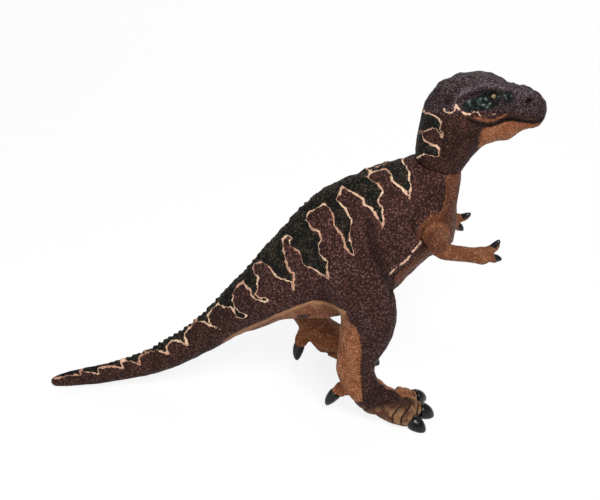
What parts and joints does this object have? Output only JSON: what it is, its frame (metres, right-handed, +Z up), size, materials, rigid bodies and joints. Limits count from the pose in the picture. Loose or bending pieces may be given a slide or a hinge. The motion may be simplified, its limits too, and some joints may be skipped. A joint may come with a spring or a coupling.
{
  "type": "toy dinosaur figure",
  "caption": "Standing toy theropod dinosaur in painted vinyl, on two feet and its tail tip, with a head and arms that swivel.",
  "frame": {"origin": "on the ground under the middle of the figure's box", "axes": "+X towards the snout, +Y to the figure's left, +Z up"},
  "size_m": [0.3002, 0.0992, 0.2122],
  "materials": {
    "body_vinyl": "pebbled vinyl skin, dark plum spray paint with black and cream stripes",
    "limb_vinyl": "pebbled vinyl skin, orange-tan spray paint fading to dark plum",
    "peg_nylon": "smooth moulded nylon"
  },
  "bodies": {
    "torso": {"torso_right_shell": "body_vinyl", "torso_left_shell": "body_vinyl", "tail": "body_vinyl", "right_leg": "limb_vinyl", "left_leg": "limb_vinyl", "neck_peg": "peg_nylon"},
    "head": {"head": "body_vinyl"},
    "right_arm": {"right_arm": "limb_vinyl", "right_shoulder_peg": "peg_nylon"},
    "left_arm": {"left_arm": "limb_vinyl", "left_shoulder_peg": "peg_nylon"}
  },
  "joints": [
    {"name": "neck_swivel", "type": "hinge", "parent": "torso", "child": "head", "pos_m": [0.09314, -0.00214, 0.1606], "axis": [0.2419, 0, 0.9703], "range_deg": [-60, 60]},
    {"name": "right_shoulder_swivel", "type": "hinge", "parent": "torso", "child": "right_arm", "pos_m": [0.09089, -0.02714, 0.12854], "axis": [0, -1, 0], "range_deg": [-35, 80]},
    {"name": "left_shoulder_swivel", "type": "hinge", "parent": "torso", "child": "left_arm", "pos_m": [0.09089, 0.02286, 0.12854], "axis": [0, -1, 0], "range_deg": [-5, 110]}
  ]
}
